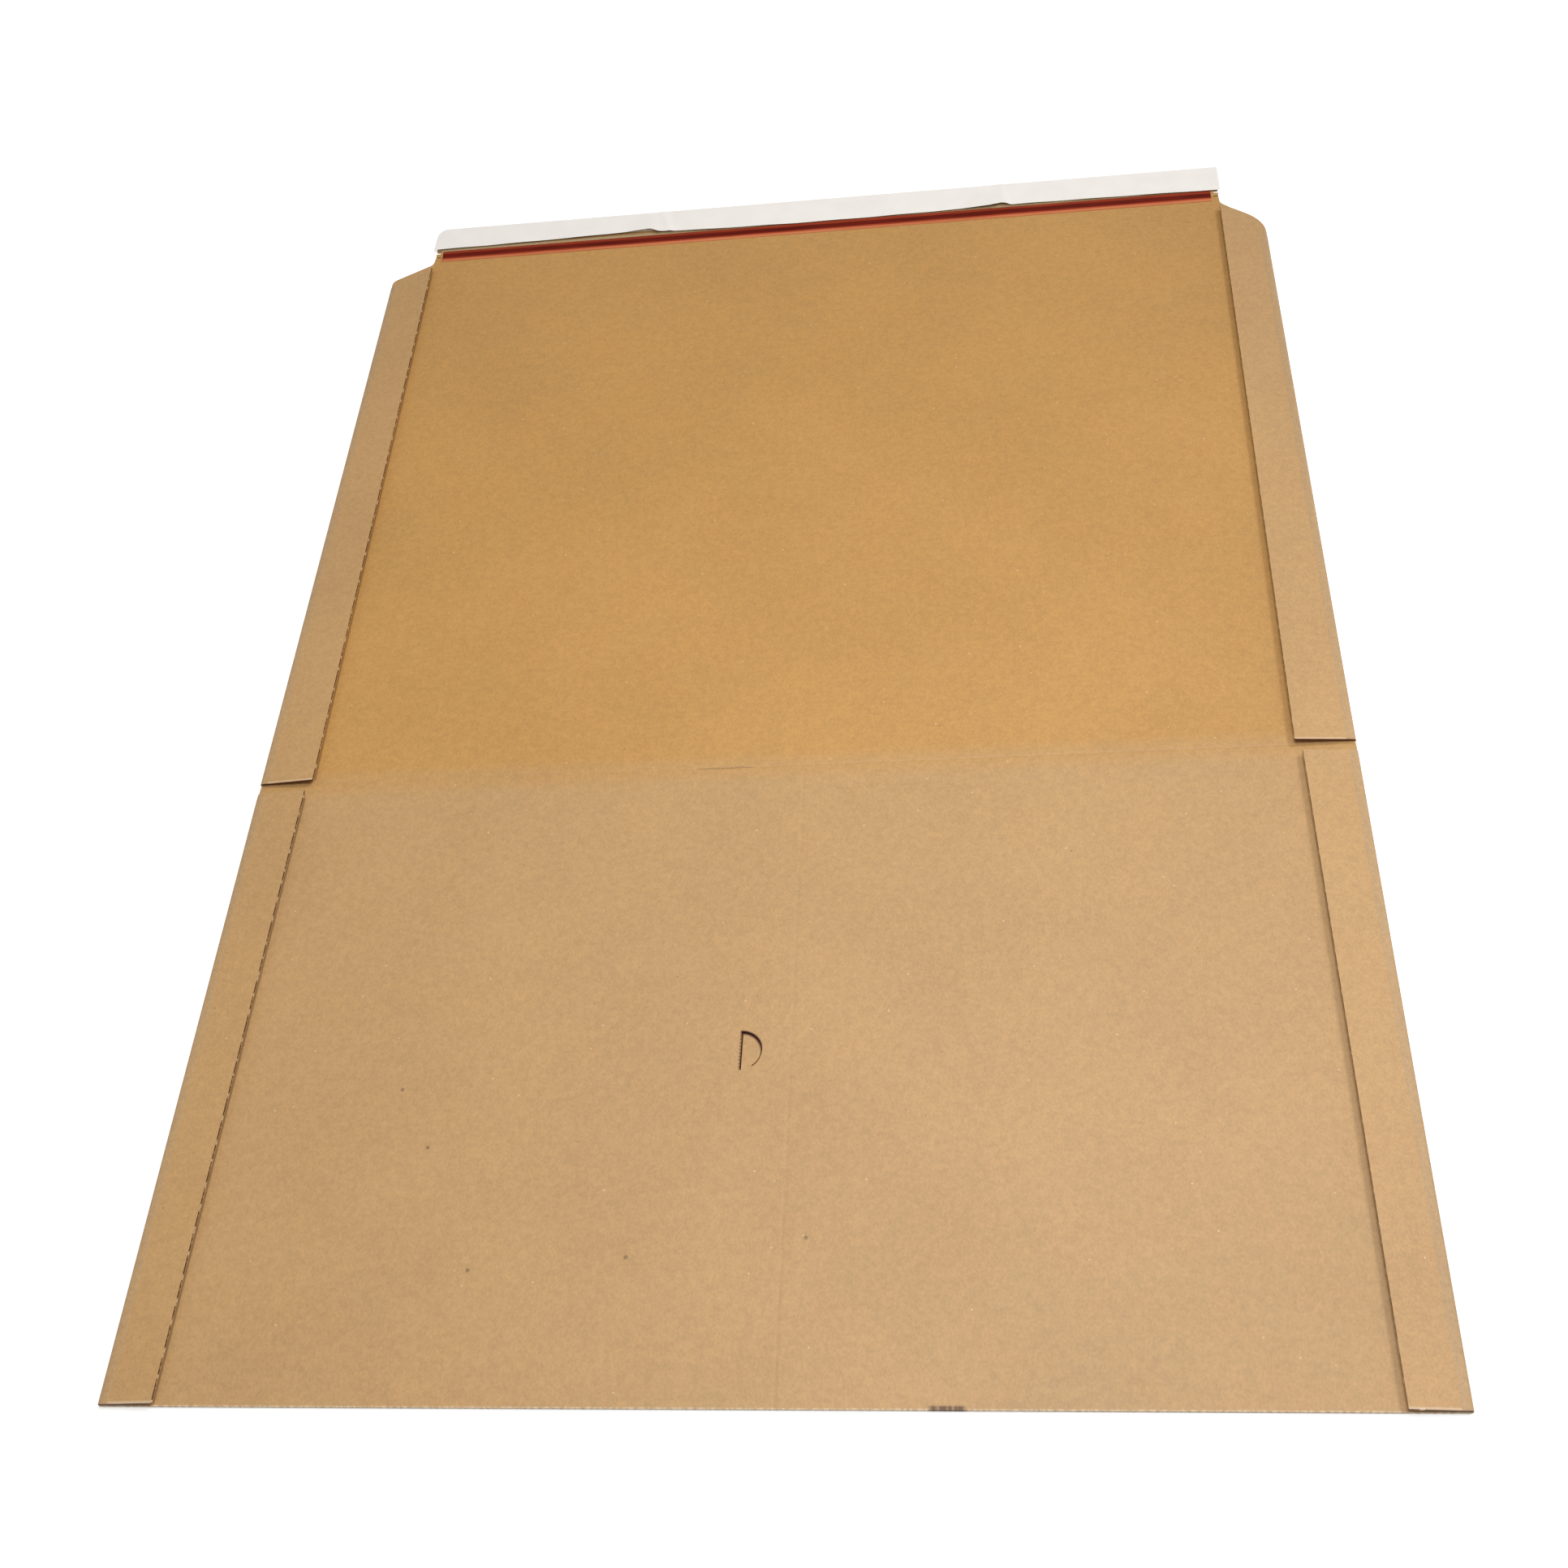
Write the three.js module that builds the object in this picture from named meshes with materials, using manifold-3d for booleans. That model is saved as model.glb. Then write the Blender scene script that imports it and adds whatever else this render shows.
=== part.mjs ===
import * as THREE from "three";
import { mergeGeometries, mergeVertices } from "three/addons/utils/BufferGeometryUtils.js";
import Module from "manifold-3d";

// A wrap mailer of corrugated kraft board, opened out flat with its inner face up.
// Millimetres: X across the sheet, Y away from the front edge of the base, Z up from the table.

// Board
const BOARD = 1.6; // thickness of the fine-fluted board
const LINER_PAPER = 0.25; // thickness of the liner on each face
const FLUTE_PITCH = 3.3; // the flutes run across the sheet, along X
const MEDIUM = 0.22; // thickness of the fluted paper between the liners
const FLUTE_OPEN = 12; // how far in from a cut edge the flutes are open
const CREASE_PLAY = 0.3; // gap left at a crease, so that both sides can turn
const SCORE_WIDTH = 1.0; // how far a score line presses the board down on each side
const SCORE_DEPTH = 0.5;

// Sheet
const SHEET_WIDTH = 600; // over the folded side flaps
const BASE_DEPTH = 346.5; // front edge to main crease
const LID_DEPTH = 471; // main crease to lip crease
const LIP_DEPTH = 25; // lip crease to far edge
const BEND_MARK_X = 9.5; // faint lengthwise crease where the base was once bent
const BEND_MARK_WIDTH = 3;
const BEND_MARK_DEPTH = 0.08;
const SPLIT_X = 84; // where the front edge has come open between its liners
const SPLIT_WIDTH = 17;
const SPLIT_DEPTH = 3;

// Side flaps, folded in over the panels and sprung up a little. They are widest beside the main crease.
const BASE_FLAP_WIDTH = { near: 26.7, far: 28.5 };
const LID_FLAP_WIDTH = 31.8;
const LID_FLAP_PAST_NECK = 0.8; // inner far corner of a lid flap, inboard of the neck's side
const FLAP_LIFT = 4.5; // degrees above lying flat
const FLAP_FRONT_INSET = 0.3; // end of a base flap, back from the front edge
const BASE_FLAP_SETBACK = 6.5; // end of a base flap, short of the main crease
const LID_FLAP_SETBACK = 0.6; // end of a lid flap, beyond the main crease
const LID_FLAP_END_SETBACK = 6.5; // far end of a lid flap at its inner edge, short of the shoulder's root

// Neck and shoulders at the far end of the lid
const SHOULDER_WIDTH = 27; // the sides of the neck stand in from the side folds by this
const SHOULDER_SETBACK = 14; // root of the shoulders, back from the lip crease
const SHOULDER_ROOT_ROUND = 3;
const LEFT_SHOULDER = { drop: 19, round: 5 }; // fall from root to side fold, and rounding there
const RIGHT_SHOULDER = { drop: 25, round: 15 };
const RELIEF_NOTCH = 3; // square notch at each end of the lip crease
const LIP_LEFT_ROUND = 6;
const LIP_RIGHT_ROUND = 2;

// Red tear tape, pressed into a groove just short of the lip crease
const TAPE_WIDTH = 11;
const TAPE_THICKNESS = 0.25;
const TAPE_SETBACK = 1; // far edge, back from the lip crease
const TAPE_END_INSET = 5; // from the sides of the neck
const TEAR_GROOVE_WIDTH = 6;
const TEAR_GROOVE_DEPTH = 0.9;
const TEAR_GROOVE_OFFSET = 0.5; // middle of the groove, beyond the middle of the tape
const TAPE_EASE = 0.5; // along Y, between the groove's slopes and the tape's

// Adhesive band and its release liner, on the lip
const ADHESIVE_WIDTH = 16;
const ADHESIVE_THICKNESS = 0.15;
const ADHESIVE_END_INSET = 5;
const LINER_WIDTH = 23;
const LINER_THICKNESS = 0.15;
const LINER_SETBACK = 0.6; // far edge, back from the far edge of the lip
const LINER_OVERHANG = 1; // beyond the lip at both ends

// Half-round finger tab in the base, cut all round but its lower right, and pushed in at the top
const TAB_X = -15.4; // straight side
const TAB_Y = 173.6; // middle of the straight side
const TAB_RADIUS = 10.6;
const TAB_CUT = 0.7; // width of the cut
const TAB_HELD_BELOW = -55; // degrees round the arc, where the cut ends
const TAB_PUSHED_IN = 1.1;

// Colours and finish
const TAN_INNER = 0xcaa473;
const GOLD_INNER = 0xc69758;
const KRAFT_OUTER = 0xc6a474;
const TAPE_RED = 0xd2502f;
const GLUE_CREAM = 0xe8e2cc;
const LINER_WHITE = 0xeee7de;
const KRAFT_ROUGHNESS = 0.9;
const FILM_ROUGHNESS = 0.4;
const SILICONE_ROUGHNESS = 0.5;

const ARC_STEPS = 8;
const TRIM = 1; // how far a trimming shape runs past the board
const SAME_POINT = 1e-4;

const sideFold = SHEET_WIDTH / 2;
const lipCrease = BASE_DEPTH + LID_DEPTH;
const farEdge = lipCrease + LIP_DEPTH;
const neckHalf = sideFold - SHOULDER_WIDTH;
const shoulderRoot = lipCrease - SHOULDER_SETBACK;
const flapHingeHeight = BOARD + CREASE_PLAY / 2;
const tapeFar = lipCrease - TAPE_SETBACK;
const tapeNear = tapeFar - TAPE_WIDTH;
const grooveMiddle = (tapeNear + tapeFar) / 2 + TEAR_GROOVE_OFFSET;
const linerFar = farEdge - LINER_SETBACK;

const wasm = await Module();
wasm.setup();

// Solids

// A closed geometry as a solid that can be joined and cut.
function solid(geometry) {
  const bare = geometry.clone();
  bare.deleteAttribute("normal");
  bare.deleteAttribute("uv");
  const merged = mergeVertices(bare, SAME_POINT);
  const corners = Array.from(merged.index.array);
  const triangles = [];
  for (let i = 0; i < corners.length; i += 3) {
    const [a, b, c] = corners.slice(i, i + 3);
    if (a !== b && b !== c && c !== a) triangles.push(a, b, c);
  }
  return new wasm.Manifold(
    new wasm.Mesh({
      numProp: 3,
      vertProperties: merged.attributes.position.array,
      triVerts: new Uint32Array(triangles),
    }),
  );
}

function geometryOf(body) {
  const { vertProperties, triVerts } = body.getMesh();
  const geometry = new THREE.BufferGeometry();
  geometry.setAttribute("position", new THREE.BufferAttribute(vertProperties, 3));
  geometry.setIndex(new THREE.BufferAttribute(triVerts, 1));
  geometry.computeVertexNormals();
  return geometry;
}

function extruded(shape, depth) {
  return new THREE.ExtrudeGeometry(shape, { depth, bevelEnabled: false, curveSegments: ARC_STEPS });
}

// A section drawn in X and Z, run along Y.
function alongY(section, near, far) {
  const upright = new THREE.Matrix4().makeRotationX(Math.PI / 2);
  return solid(extruded(section, far - near).applyMatrix4(upright).translate(0, far, 0));
}

// A section drawn in Y and Z, run along X.
function alongX(section, left, right) {
  const sideways = new THREE.Matrix4().makeBasis(
    new THREE.Vector3(0, 1, 0),
    new THREE.Vector3(0, 0, 1),
    new THREE.Vector3(1, 0, 0),
  );
  return solid(extruded(section, right - left).applyMatrix4(sideways).translate(left, 0, 0));
}

// A plan drawn in X and Y, run up Z.
function alongZ(plan, low, high) {
  return solid(extruded(plan, high - low).translate(0, 0, low));
}

function polygon(points) {
  return new THREE.Shape(points.map(([x, y]) => new THREE.Vector2(x, y)));
}

// A closed outline through corners [x, y, round].
// A corner is eased from `round` before it to `round` after it.
function outline(corners) {
  const path = new THREE.Shape();
  corners.forEach(([x, y, round = 0], i) => {
    const corner = new THREE.Vector2(x, y);
    const [beforeX, beforeY] = corners.at(i - 1);
    const [afterX, afterY] = corners[(i + 1) % corners.length];
    const before = new THREE.Vector2(beforeX, beforeY);
    const after = new THREE.Vector2(afterX, afterY);
    const start = corner.clone().lerp(before, round / corner.distanceTo(before));
    const end = corner.clone().lerp(after, round / corner.distanceTo(after));
    if (i === 0) path.moveTo(start.x, start.y);
    else path.lineTo(start.x, start.y);
    if (round > 0) path.quadraticCurveTo(x, y, end.x, end.y);
  });
  path.closePath();
  return path;
}

function piece(name, geometry, colour, roughness) {
  const material = new THREE.MeshStandardMaterial({ color: colour, roughness, metalness: 0 });
  material.flatShading = true;
  const mesh = new THREE.Mesh(geometry, material);
  mesh.name = name;
  return mesh;
}

// Open ends of the flutes

// An open flute end: a triangle at the cut edge, narrowing to a point on its own liner further in,
// where the board is pressed flat.
function fluteEnd(openX, closedX, y, linerZ, crestZ) {
  const half = FLUTE_PITCH / 2 - MEDIUM;
  const corners = [
    [openX, y - half, linerZ],
    [openX, y + half, linerZ],
    [openX, y, crestZ],
    [closedX, y, linerZ],
  ];
  const faces = [
    [0, 2, 1],
    [0, 1, 3],
    [0, 3, 2],
    [1, 2, 3],
  ];
  const turned = (closedX - openX) * (crestZ - linerZ) < 0;
  const order = faces.flatMap((face) => (turned ? [...face].reverse() : face));
  const geometry = new THREE.BufferGeometry();
  geometry.setAttribute("position", new THREE.Float32BufferAttribute(corners.flat(), 3));
  geometry.setIndex(order);
  return geometry;
}

// The flutes that end in a cut edge between near and far. The edge lies at edgeX(y), and the board inward of it.
// Flutes under the upper liner and over the lower one take turns, in step all over the sheet.
function openFlutes(edgeX, inward, near, far, boardLow) {
  const lower = boardLow + LINER_PAPER;
  const upper = boardLow + BOARD - LINER_PAPER;
  const ends = [];
  const first = Math.ceil((2 * near) / FLUTE_PITCH) + 1;
  const last = Math.floor((2 * far) / FLUTE_PITCH) - 1;
  for (let step = first; step <= last; step += 1) {
    const y = (step * FLUTE_PITCH) / 2;
    const edge = edgeX(y);
    const openX = edge - inward * MEDIUM;
    const closedX = edge + inward * FLUTE_OPEN;
    if (step % 2 === 0) ends.push(fluteEnd(openX, closedX, y, lower, upper - MEDIUM));
    else ends.push(fluteEnd(openX, closedX, y, upper, lower + MEDIUM));
  }
  return solid(mergeGeometries(ends));
}

// Where the front edge has split open, a lens-shaped space lies between the liners.
function frontSplit() {
  const plan = new THREE.Shape();
  plan.moveTo(SPLIT_X - SPLIT_WIDTH / 2, -TRIM);
  plan.lineTo(SPLIT_X - SPLIT_WIDTH / 2, 0);
  plan.quadraticCurveTo(SPLIT_X, 2 * SPLIT_DEPTH, SPLIT_X + SPLIT_WIDTH / 2, 0);
  plan.lineTo(SPLIT_X + SPLIT_WIDTH / 2, -TRIM);
  plan.closePath();
  return alongZ(plan, LINER_PAPER, BOARD - LINER_PAPER);
}

// Panels

// Section across a panel. Its lower sides are round, where the outer liner turns up into the flaps.
function panelSection(topPoints) {
  const side = sideFold - CREASE_PLAY / 2;
  const section = new THREE.Shape();
  section.moveTo(BOARD - side, 0);
  section.lineTo(side - BOARD, 0);
  section.absarc(side - BOARD, BOARD, BOARD, -Math.PI / 2, 0, false);
  topPoints.forEach(([x, z]) => section.lineTo(x, z));
  section.lineTo(-side, BOARD);
  section.absarc(BOARD - side, BOARD, BOARD, Math.PI, 1.5 * Math.PI, false);
  return section;
}

// Section along a panel, from near to far. A scored end is pressed down on its inner face.
function panelProfile(near, far, topPoints = [], scoredNear = true, scoredFar = true) {
  const pressed = BOARD - SCORE_DEPTH;
  const nearTop = scoredNear ? [[near + SCORE_WIDTH, BOARD], [near, pressed]] : [[near, BOARD]];
  const farTop = scoredFar ? [[far, pressed], [far - SCORE_WIDTH, BOARD]] : [[far, BOARD]];
  return polygon([[near, 0], [far, 0], ...farTop, ...topPoints, ...nearTop]);
}

// The path of the cut round the finger tab: up the straight side, over the top and down the arc.
function tabCut() {
  const heldBelow = THREE.MathUtils.degToRad(TAB_HELD_BELOW);
  const inner = TAB_RADIUS - TAB_CUT;
  const innerTop = Math.acos(TAB_CUT / inner);
  const cut = new THREE.Shape();
  cut.moveTo(TAB_X, TAB_Y - TAB_RADIUS);
  cut.lineTo(TAB_X, TAB_Y + TAB_RADIUS);
  cut.absarc(TAB_X, TAB_Y, TAB_RADIUS, Math.PI / 2, heldBelow, true);
  cut.absarc(TAB_X, TAB_Y, inner, heldBelow, innerTop, false);
  cut.lineTo(TAB_X + TAB_CUT, TAB_Y - TAB_RADIUS);
  cut.closePath();
  return cut;
}

// What the pushed-in tab leaves open above it: nothing at its lower end, most at the top.
function tabHollow() {
  const low = TAB_Y - TAB_RADIUS;
  const high = TAB_Y + TAB_RADIUS;
  const halfRound = new THREE.Shape();
  halfRound.moveTo(TAB_X, low);
  halfRound.absarc(TAB_X, TAB_Y, TAB_RADIUS, -Math.PI / 2, Math.PI / 2, false);
  halfRound.closePath();
  const slope = polygon([
    [low, BOARD],
    [high + TRIM, BOARD - TAB_PUSHED_IN],
    [high + TRIM, BOARD + TRIM],
    [low, BOARD + TRIM],
  ]);
  const over = alongX(slope, TAB_X - TRIM, TAB_X + TAB_RADIUS + TRIM);
  return alongZ(halfRound, 0, BOARD + TRIM).intersect(over);
}

function basePanel() {
  const far = BASE_DEPTH - CREASE_PLAY / 2;
  const bendMark = [
    [BEND_MARK_X + BEND_MARK_WIDTH / 2, BOARD],
    [BEND_MARK_X, BOARD - BEND_MARK_DEPTH],
    [BEND_MARK_X - BEND_MARK_WIDTH / 2, BOARD],
  ];
  return alongY(panelSection(bendMark), 0, far)
    .intersect(alongX(panelProfile(0, far, [], false, true), -sideFold, sideFold))
    .subtract(alongZ(tabCut(), -TRIM, BOARD + TRIM))
    .subtract(tabHollow())
    .subtract(frontSplit());
}

// Plan of the lid: two sloping shoulders from the side folds up to their root, then a neck.
// The neck has a relief notch at each end of the lip crease.
function lidOutline(far) {
  const notchX = neckHalf - RELIEF_NOTCH;
  const notchY = far - RELIEF_NOTCH;
  return outline([
    [sideFold, BASE_DEPTH],
    [sideFold, shoulderRoot - RIGHT_SHOULDER.drop, RIGHT_SHOULDER.round],
    [neckHalf, shoulderRoot, SHOULDER_ROOT_ROUND],
    [neckHalf, notchY],
    [notchX, notchY],
    [notchX, far],
    [-notchX, far],
    [-notchX, notchY],
    [-neckHalf, notchY],
    [-neckHalf, shoulderRoot, SHOULDER_ROOT_ROUND],
    [-sideFold, shoulderRoot - LEFT_SHOULDER.drop, LEFT_SHOULDER.round],
    [-sideFold, BASE_DEPTH],
  ]);
}

function lidPanel() {
  const near = BASE_DEPTH + CREASE_PLAY / 2;
  const far = lipCrease - CREASE_PLAY / 2;
  const tearGroove = [
    [grooveMiddle + TEAR_GROOVE_WIDTH / 2, BOARD],
    [grooveMiddle, BOARD - TEAR_GROOVE_DEPTH],
    [grooveMiddle - TEAR_GROOVE_WIDTH / 2, BOARD],
  ];
  const neckFlutes = (side) =>
    openFlutes(() => side * neckHalf, -side, shoulderRoot + SHOULDER_ROOT_ROUND, far - RELIEF_NOTCH, 0);
  return alongY(panelSection([]), near, far)
    .intersect(alongX(panelProfile(near, far, tearGroove), -sideFold, sideFold))
    .intersect(alongZ(lidOutline(far), -TRIM, BOARD + TRIM))
    .subtract(neckFlutes(-1))
    .subtract(neckFlutes(1));
}

function closureLip() {
  const near = lipCrease + CREASE_PLAY / 2;
  const plan = outline([
    [neckHalf, near],
    [neckHalf, farEdge, LIP_RIGHT_ROUND],
    [-neckHalf, farEdge, LIP_LEFT_ROUND],
    [-neckHalf, near],
  ]);
  const endFlutes = (side, round) =>
    openFlutes(() => side * neckHalf, -side, near + SCORE_WIDTH, farEdge - round, 0);
  return alongX(panelProfile(near, farEdge, [], true, false), -neckHalf, neckHalf)
    .intersect(alongZ(plan, -TRIM, BOARD + TRIM))
    .subtract(endFlutes(-1, LIP_LEFT_ROUND))
    .subtract(endFlutes(1, LIP_RIGHT_ROUND));
}

// Side flaps

// A flap as it would lie pressed flat on its panel, over a plan that gives
// - near and far: its ends along the sheet, and foldFar: its far end at the fold, with a rounding foldRound
// - nearWidth and farWidth: how far it reaches in over the panel at those ends
// Its outer edge is round on top, as the panel's is below.
// Its inner edge is cut across the flutes, which are open there.
function flatFlap(side, { near, far, foldFar, foldRound, nearWidth, farWidth }) {
  const low = flapHingeHeight + CREASE_PLAY / 2;
  const high = low + BOARD;
  const fold = sideFold - CREASE_PLAY / 2;
  const widest = Math.max(nearWidth, farWidth);
  const section = new THREE.Shape();
  section.moveTo(side * (sideFold - widest), low);
  section.lineTo(side * fold, low);
  section.absarc(side * (fold - BOARD), low, BOARD, side > 0 ? 0 : Math.PI, Math.PI / 2, side < 0);
  section.lineTo(side * (sideFold - widest), high);
  section.closePath();
  const edgeX = (y) => side * (sideFold - THREE.MathUtils.mapLinear(y, near, far, nearWidth, farWidth));
  const plan = outline([
    [edgeX(near), near],
    [edgeX(far), far],
    [side * sideFold, foldFar, foldRound],
    [side * sideFold, near],
  ]);
  const farFlute = far - ((far - foldFar) * FLUTE_OPEN) / farWidth;
  return alongY(section, near, far)
    .intersect(alongZ(plan, low - TRIM, high + TRIM))
    .subtract(openFlutes(edgeX, side, near, farFlute, low));
}

function baseFlap(side) {
  const far = BASE_DEPTH - BASE_FLAP_SETBACK;
  return flatFlap(side, {
    near: FLAP_FRONT_INSET,
    far,
    foldFar: far,
    foldRound: 0,
    nearWidth: BASE_FLAP_WIDTH.near,
    farWidth: BASE_FLAP_WIDTH.far,
  });
}

// A lid flap ends in a slope, from the shoulder's own end at the fold to near the shoulder's root.
function lidFlap(side) {
  const shoulder = side > 0 ? RIGHT_SHOULDER : LEFT_SHOULDER;
  return flatFlap(side, {
    near: BASE_DEPTH + LID_FLAP_SETBACK,
    far: shoulderRoot - LID_FLAP_END_SETBACK,
    foldFar: shoulderRoot - shoulder.drop,
    foldRound: shoulder.round,
    nearWidth: LID_FLAP_WIDTH,
    farWidth: SHOULDER_WIDTH + LID_FLAP_PAST_NECK,
  });
}

// A flap mesh in a group that turns about the flap's own crease.
function hingedFlap(name, side, body) {
  const hinge = new THREE.Group();
  hinge.position.set(side * sideFold, 0, flapHingeHeight);
  hinge.rotation.y = side * THREE.MathUtils.degToRad(FLAP_LIFT);
  const local = geometryOf(body).translate(-side * sideFold, 0, -flapHingeHeight);
  hinge.add(piece(name, local, KRAFT_OUTER, KRAFT_ROUGHNESS));
  return hinge;
}

// Tape, adhesive and liner

// The tape lies flat on both sides of the groove and dips into it between them.
function tearTape() {
  const dipHalf = TEAR_GROOVE_WIDTH / 2 - TAPE_EASE;
  const dip = (TEAR_GROOVE_DEPTH * dipHalf) / (TEAR_GROOVE_WIDTH / 2);
  const underside = [
    [tapeNear, BOARD],
    [grooveMiddle - dipHalf, BOARD],
    [grooveMiddle, BOARD - dip],
    [grooveMiddle + dipHalf, BOARD],
    [tapeFar, BOARD],
  ];
  const upperSide = underside.map(([y, z]) => [y, z + TAPE_THICKNESS]).reverse();
  const end = neckHalf - TAPE_END_INSET;
  return alongX(polygon([...underside, ...upperSide]), -end, end);
}

function adhesiveBand() {
  const middle = linerFar - LINER_WIDTH / 2;
  const end = neckHalf - ADHESIVE_END_INSET;
  const band = new THREE.BoxGeometry(2 * end, ADHESIVE_WIDTH, ADHESIVE_THICKNESS);
  return solid(band.translate(0, middle, BOARD + ADHESIVE_THICKNESS / 2));
}

function releaseLiner() {
  const low = BOARD + ADHESIVE_THICKNESS;
  const end = neckHalf + LINER_OVERHANG;
  const plan = outline([
    [end, linerFar - LINER_WIDTH],
    [end, linerFar, LIP_RIGHT_ROUND],
    [-end, linerFar, LIP_LEFT_ROUND],
    [-end, linerFar - LINER_WIDTH],
  ]);
  return alongZ(plan, low, low + LINER_THICKNESS);
}

// The mailer, with its origin under the middle of the sheet

const base = new THREE.Group();
base.add(piece("base_panel", geometryOf(basePanel()), TAN_INNER, KRAFT_ROUGHNESS));
base.add(hingedFlap("base_flap_left", -1, baseFlap(-1)));
base.add(hingedFlap("base_flap_right", 1, baseFlap(1)));

const lip = new THREE.Group();
lip.add(piece("closure_lip", geometryOf(closureLip()), GOLD_INNER, KRAFT_ROUGHNESS));
lip.add(piece("adhesive_strip", geometryOf(adhesiveBand()), GLUE_CREAM, FILM_ROUGHNESS));
lip.add(piece("release_liner", geometryOf(releaseLiner()), LINER_WHITE, SILICONE_ROUGHNESS));

const lid = new THREE.Group();
lid.add(piece("lid_panel", geometryOf(lidPanel()), GOLD_INNER, KRAFT_ROUGHNESS));
lid.add(piece("tear_tape", geometryOf(tearTape()), TAPE_RED, FILM_ROUGHNESS));
lid.add(hingedFlap("lid_flap_left", -1, lidFlap(-1)));
lid.add(hingedFlap("lid_flap_right", 1, lidFlap(1)));
lid.add(lip);

const mailer = new THREE.Group();
mailer.add(base, lid);
mailer.position.y = -farEdge / 2;

export default mailer;
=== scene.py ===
import math

import bmesh
import bpy
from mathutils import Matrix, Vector


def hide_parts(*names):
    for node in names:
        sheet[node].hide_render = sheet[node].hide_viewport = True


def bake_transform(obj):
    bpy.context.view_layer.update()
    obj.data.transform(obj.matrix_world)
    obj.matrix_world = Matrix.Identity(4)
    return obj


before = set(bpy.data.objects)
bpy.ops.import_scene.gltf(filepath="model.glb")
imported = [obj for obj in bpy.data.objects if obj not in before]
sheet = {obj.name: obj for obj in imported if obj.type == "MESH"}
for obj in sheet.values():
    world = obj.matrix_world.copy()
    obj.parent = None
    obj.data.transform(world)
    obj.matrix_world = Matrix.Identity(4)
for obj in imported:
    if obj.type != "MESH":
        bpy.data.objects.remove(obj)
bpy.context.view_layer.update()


# Base panel.
# The near half of the sheet: fine-fluted kraft board with a tan inner liner and a duller outer one.
# It is die-cut, so its front edge shows the two liners with the flutes crushed between them.

BOARD = 0.0016
FLUTE_PITCH = 0.0033
HALF_WIDTH = 0.3
FRONT_EDGE_Y = -0.42125
MAIN_CREASE_Y = -0.07475
DARK_SPECK = (0.16, 0.08, 0.03, 1)
PALE_SPECK = (0.78, 0.6, 0.36, 1)
WARM_TINT = (1.04, 0.97, 0.93, 1)


def add_node(tree, kind, inputs=None, **settings):
    """A node of a material, with its plain values and its incoming links."""
    node = tree.nodes.new("ShaderNode" + kind)
    for name, value in settings.items():
        setattr(node, name, value)
    for name, value in (inputs or {}).items():
        if isinstance(value, bpy.types.NodeSocket):
            tree.links.new(value, node.inputs[name])
        else:
            node.inputs[name].default_value = value
    return node


def math_node(tree, operation, a, b=0.0, clamp=False):
    """The result of one sum on numbers or sockets."""
    node = add_node(tree, "Math", {0: a, 1: b}, operation=operation, use_clamp=clamp)
    return node.outputs[0]


def plus(tree, a, b, clamp=False):
    return math_node(tree, "ADD", a, b, clamp)


def minus(tree, a, b):
    return math_node(tree, "SUBTRACT", a, b)


def times(tree, a, b):
    return math_node(tree, "MULTIPLY", a, b)


def size_of(tree, value):
    """A value without its sign."""
    return math_node(tree, "ABSOLUTE", value)


def all_of(tree, *masks):
    """Where every one of these masks holds."""
    held = masks[0]
    for mask in masks[1:]:
        held = times(tree, held, mask)
    return held


def ramp(tree, value, low, high, to_low=0.0, to_high=1.0):
    """A value between low and high, taken smoothly to between to_low and to_high."""
    node = add_node(
        tree,
        "MapRange",
        {"Value": value, "From Min": low, "From Max": high, "To Min": to_low, "To Max": to_high},
        interpolation_type="SMOOTHSTEP",
    )
    return node.outputs[0]


def mix_colours(tree, share, first, second, blend="MIX"):
    """Two colours laid over each other by a share."""
    node = tree.nodes.new("ShaderNodeMix")
    node.data_type = "RGBA"
    node.blend_type = blend
    for socket, value in ((node.inputs[0], share), (node.inputs[6], first), (node.inputs[7], second)):
        if isinstance(value, bpy.types.NodeSocket):
            tree.links.new(value, socket)
        else:
            socket.default_value = value
    return node.outputs[2]


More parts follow.
